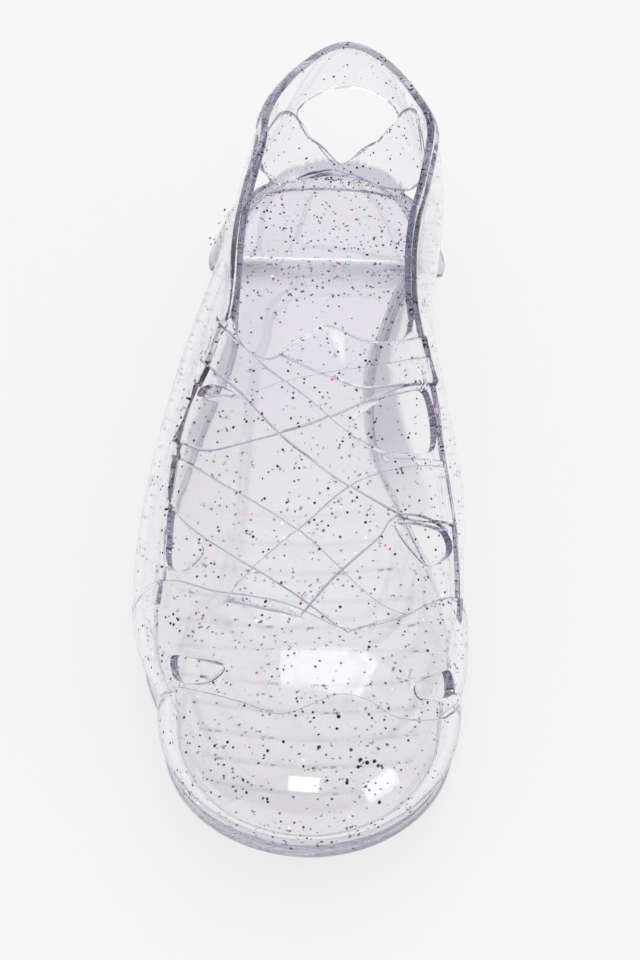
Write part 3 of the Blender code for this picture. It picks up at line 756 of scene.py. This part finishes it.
glitter = {
    "seed": 7,
    "upperCount": 1900,
    "soleCount": 1200,
    "heelCount": 450,
    "size": (0.00024, 0.00046),
    # flakes are placed this deep under the surface, then none is left lower than soleGap
    # over the sole's underside, which lifts the heel's flakes out of the heel block
    "leastDepth": 0.0004,
    "upperDepth": 0.0011,
    "soleDepth": 0.0020,
    "heelDepth": 0.0025,
    "soleGap": 0.0006,
    # larger flakes gathered over the toes: middle and spread on the skin, as shares
    "toeCount": 18,
    "toeMiddle": (1.145, 0.19),
    "toeSpread": (0.03, 0.07),
    "toeSize": (0.0005, 0.0006),
    "toeHeight": 0.6,          # share of the wall
    "sides": 6,
    "thickness": 0.00006,
    "tilt": 0.6,
    "metallic": 0.9,
    "roughness": 0.3,
    # colour and share of the flakes
    "colours": (
        ((0.01, 0.01, 0.015), 0.50), ((0.08, 0.07, 0.09), 0.18), ((0.95, 0.95, 0.97), 0.24),
        ((0.60, 0.07, 0.12), 0.08), ((0.10, 0.30, 0.42), 0.03), ((0.30, 0.22, 0.42), 0.05),
    ),
}


def wallSamples(piece, count, draw):
    # seeded places just under a piece's faces, with the face's direction
    mesh = piece.data
    mesh.calc_loop_triangles()
    corners = np.zeros(len(mesh.loop_triangles) * 3, np.int32)
    mesh.loop_triangles.foreach_get("vertices", corners)
    points = np.zeros(len(mesh.vertices) * 3)
    mesh.vertices.foreach_get("co", points)
    triangles = points.reshape(-1, 3)[corners.reshape(-1, 3)]
    cross = np.cross(triangles[:, 1] - triangles[:, 0], triangles[:, 2] - triangles[:, 0])
    area = np.linalg.norm(cross, axis=1)
    chosen = draw.choice(len(triangles), size=count, p=area / area.sum())
    mix = draw.dirichlet((1, 1, 1), size=count)
    places = np.einsum("ij,ijk->ik", mix, triangles[chosen])
    normals = cross[chosen] / area[chosen][:, None]
    return places, normals


def toeSamples(count, draw):
    skin = skinPoints(draw.normal(glitter["toeMiddle"], glitter["toeSpread"], size=(count, 2)))
    normals = formNormals(skin)
    return footForm(skin) + normals * upper["wall"] * glitter["toeHeight"], normals


def buildGlitter(name, places, normals, size, draw):
    count = len(places)
    sides = glitter["sides"]
    turns = np.arange(sides) * math.pi / (sides / 2)
    points, faces, colours = [], [], []
    tints = [colour for colour, share in glitter["colours"]]
    shares = np.array([share for colour, share in glitter["colours"]])
    picks = draw.choice(len(tints), size=count, p=shares / shares.sum())
    for place, normal, pick in zip(places, normals, picks):
        normal = normal + draw.normal(0, glitter["tilt"], 3)
        normal /= np.linalg.norm(normal)
        side = np.cross(normal, draw.normal(0, 1, 3))
        side /= np.linalg.norm(side)
        other = np.cross(normal, side)
        radius = draw.uniform(*size)
        ring = place + radius * (np.cos(turns)[:, None] * side + np.sin(turns)[:, None] * other)
        first = len(points)
        half = normal * glitter["thickness"] / 2
        points.extend(ring + half)
        points.extend(ring - half)
        below = first + sides
        faces.append(tuple(first + corner for corner in range(sides)))
        faces.append(tuple(below + corner for corner in reversed(range(sides))))
        for corner in range(sides):
            following = (corner + 1) % sides
            faces.append((first + corner, below + corner, below + following, first + following))
        colours.extend([(*tints[pick], 1.0)] * (2 * sides))
    mesh = bpy.data.meshes.new(name)
    mesh.from_pydata([tuple(point) for point in points], [], faces)
    paint = mesh.color_attributes.new("flake", "FLOAT_COLOR", "POINT")
    paint.data.foreach_set("color", np.array(colours).ravel())
    mesh.update()
    made = bpy.data.objects.new(name, mesh)
    bpy.context.scene.collection.objects.link(made)
    return made


def glitterFoil():
    sheet = Sheet("glitter foil")
    flake = sheet.node("ShaderNodeVertexColor", {"layer_name": "flake"})
    return sheet.finish(Base_Color=flake, Metallic=glitter["metallic"], Roughness=glitter["roughness"])


def openEdges(piece):
    # edges without exactly two faces; a fused piece needs none
    counts = np.zeros(len(piece.data.edges), dtype=int)
    places = np.zeros(len(piece.data.loops), dtype=np.int32)
    piece.data.loops.foreach_get("edge_index", places)
    np.add.at(counts, places, 1)
    return int(np.sum(counts != 2))


def fuse(body, parts):
    # the shoe is one moulding: the parts are joined without inner walls
    print("open edges:", openEdges(body), [openEdges(part) for part in parts])
    for part in parts:
        union = body.modifiers.new("fuse", "BOOLEAN")
        union.operation, union.solver, union.object = "UNION", "MANIFOLD", part
        bpy.context.view_layer.objects.active = body
        bpy.ops.object.modifier_apply(modifier=union.name)
        bpy.data.objects.remove(part)
    bpy.ops.object.select_all(action="DESELECT")
    body.select_set(True)
    bpy.ops.object.shade_smooth_by_angle(angle=math.radians(plastic["smoothAngle"]))
    body.select_set(False)


bpy.ops.object.select_all(action="DESELECT")
moulding, shaded = buildUpper()
outsoleBody = buildOutsole()
footbed = buildInsole()
heelLift = buildHeelBlock()
print("stage: wall and sole")

foil = glitterFoil()
for name, piece, count, deepest in (
    ("glitter_upper", moulding, glitter["upperCount"], glitter["upperDepth"]),
    ("glitter_sole", outsoleBody, glitter["soleCount"], glitter["soleDepth"]),
    ("glitter_heel", heelLift, glitter["heelCount"], glitter["heelDepth"]),
    ("glitter_toe", None, glitter["toeCount"], 0),
):
    draw = np.random.default_rng(glitter["seed"] + count)
    if piece is None:
        places, normals = toeSamples(count, draw)
        flakes = buildGlitter(name, places, normals, glitter["toeSize"], draw)
    else:
        places, normals = wallSamples(piece, count, draw)
        places = places - normals * draw.uniform(glitter["leastDepth"], deepest, size=(count, 1))
        places[:, 2] = np.maximum(places[:, 2], soleHeight(places[:, 1]) + glitter["soleGap"])
        flakes = buildGlitter(name, places, normals, glitter["size"], draw)
    flakes.data.materials.append(foil)
    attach(flakes, "root")
print("stage: glitter")

fuse(moulding, (outsoleBody, footbed, heelLift))
# painted shade kept per point: strap lines, rim, cut edges and the fold
edgeShade = moulding.data.attributes.new("edge_shade", "FLOAT", "POINT")
edgeShade.data.foreach_set("value", [shaded.get(spot(vertex.co), 0.0) for vertex in moulding.data.vertices])
moulding.data.materials.clear()
moulding.data.materials.append(clearPlastic("clear jelly", plastic["roughness"], white))
moulding.data.materials.append(clearPlastic("grained jelly", plastic["underRoughness"], plastic["underTint"]))
for face in moulding.data.polygons:
    side = face.center
    under = soleHeight(np.array([side.y]))[0] + sole["grooveDepth"] + plastic["underReach"]
    face.material_index = int(face.normal.z < plastic["underFacing"] and side.z < under)
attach(moulding, "root")
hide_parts("upper", "outsole", "insole", "heel_block")
print("stage: one moulding,", len(moulding.data.polygons), "faces")

studio = {
    "floorSize": 6.0,
    "floorColour": (0.13, 0.13, 0.14, 1),
    "floorGlow": 0.76,         # the shoe stands on a lit table
    "floorRoughness": 0.6,
    "floorDrop": 0.0001,
    "worldStrength": 0.80,
    # name, place, target, width, height, power
    "lights": (
        ("back window", (0.12, 0.62, 0.95), (0, -0.12, 0.03), 0.90, 0.90, 7.0),
        ("front card", (-0.09, -1.20, 0.87), (0, -0.21, 0.03), 0.50, 0.35, 4.0),
        ("side card", (0.96, -0.89, 0.24), (0.02, -0.2, 0.03), 0.50, 0.50, 4.0),
    ),
    "cameraPlace": (0.0269, -0.8823, 0.9442),
    "cameraTarget": (0.0, -0.1114, 0.025),
    "lens": 166,
    "clipStart": 0.05,
    "bounces": 24,             # light passes many clear walls
    "clearBounces": 16,
}
bpy.ops.mesh.primitive_plane_add(size=studio["floorSize"], location=(0, 0, -studio["floorDrop"]))
floor = bpy.context.object
floor.name = "studio_floor"
floorSheet = Sheet("floor")
floor.data.materials.append(floorSheet.finish(
    Base_Color=studio["floorColour"], Roughness=studio["floorRoughness"], Specular_IOR_Level=0.0,
    Emission_Color=white, Emission_Strength=studio["floorGlow"],
))

world = bpy.data.worlds.new("studio")
bpy.context.scene.world = world
world.use_nodes = True
world.node_tree.nodes["Background"].inputs["Color"].default_value = white
world.node_tree.nodes["Background"].inputs["Strength"].default_value = studio["worldStrength"]


def areaLight(name, place, target, size, sizeY, power):
    light = bpy.data.lights.new(name, "AREA")
    light.shape = "RECTANGLE"
    light.size, light.size_y, light.energy = size, sizeY, power
    lamp = bpy.data.objects.new(name, light)
    lamp.location = place
    lamp.rotation_euler = (Vector(target) - Vector(place)).to_track_quat("-Z", "Y").to_euler()
    bpy.context.scene.collection.objects.link(lamp)


for lightValues in studio["lights"]:
    areaLight(*lightValues)

camera = bpy.data.objects.new("camera", bpy.data.cameras.new("camera"))
camera.location = studio["cameraPlace"]
aim = Vector(studio["cameraTarget"]) - Vector(studio["cameraPlace"])
camera.rotation_euler = aim.to_track_quat("-Z", "Y").to_euler()
camera.data.lens = studio["lens"]
camera.data.clip_start = studio["clipStart"]
bpy.context.scene.collection.objects.link(camera)
bpy.context.scene.camera = camera

bpy.context.scene.view_settings.view_transform = "Standard"
bpy.context.scene.cycles.max_bounces = studio["bounces"]
bpy.context.scene.cycles.transmission_bounces = studio["bounces"]
bpy.context.scene.cycles.glossy_bounces = studio["bounces"]
bpy.context.scene.cycles.transparent_max_bounces = studio["clearBounces"]
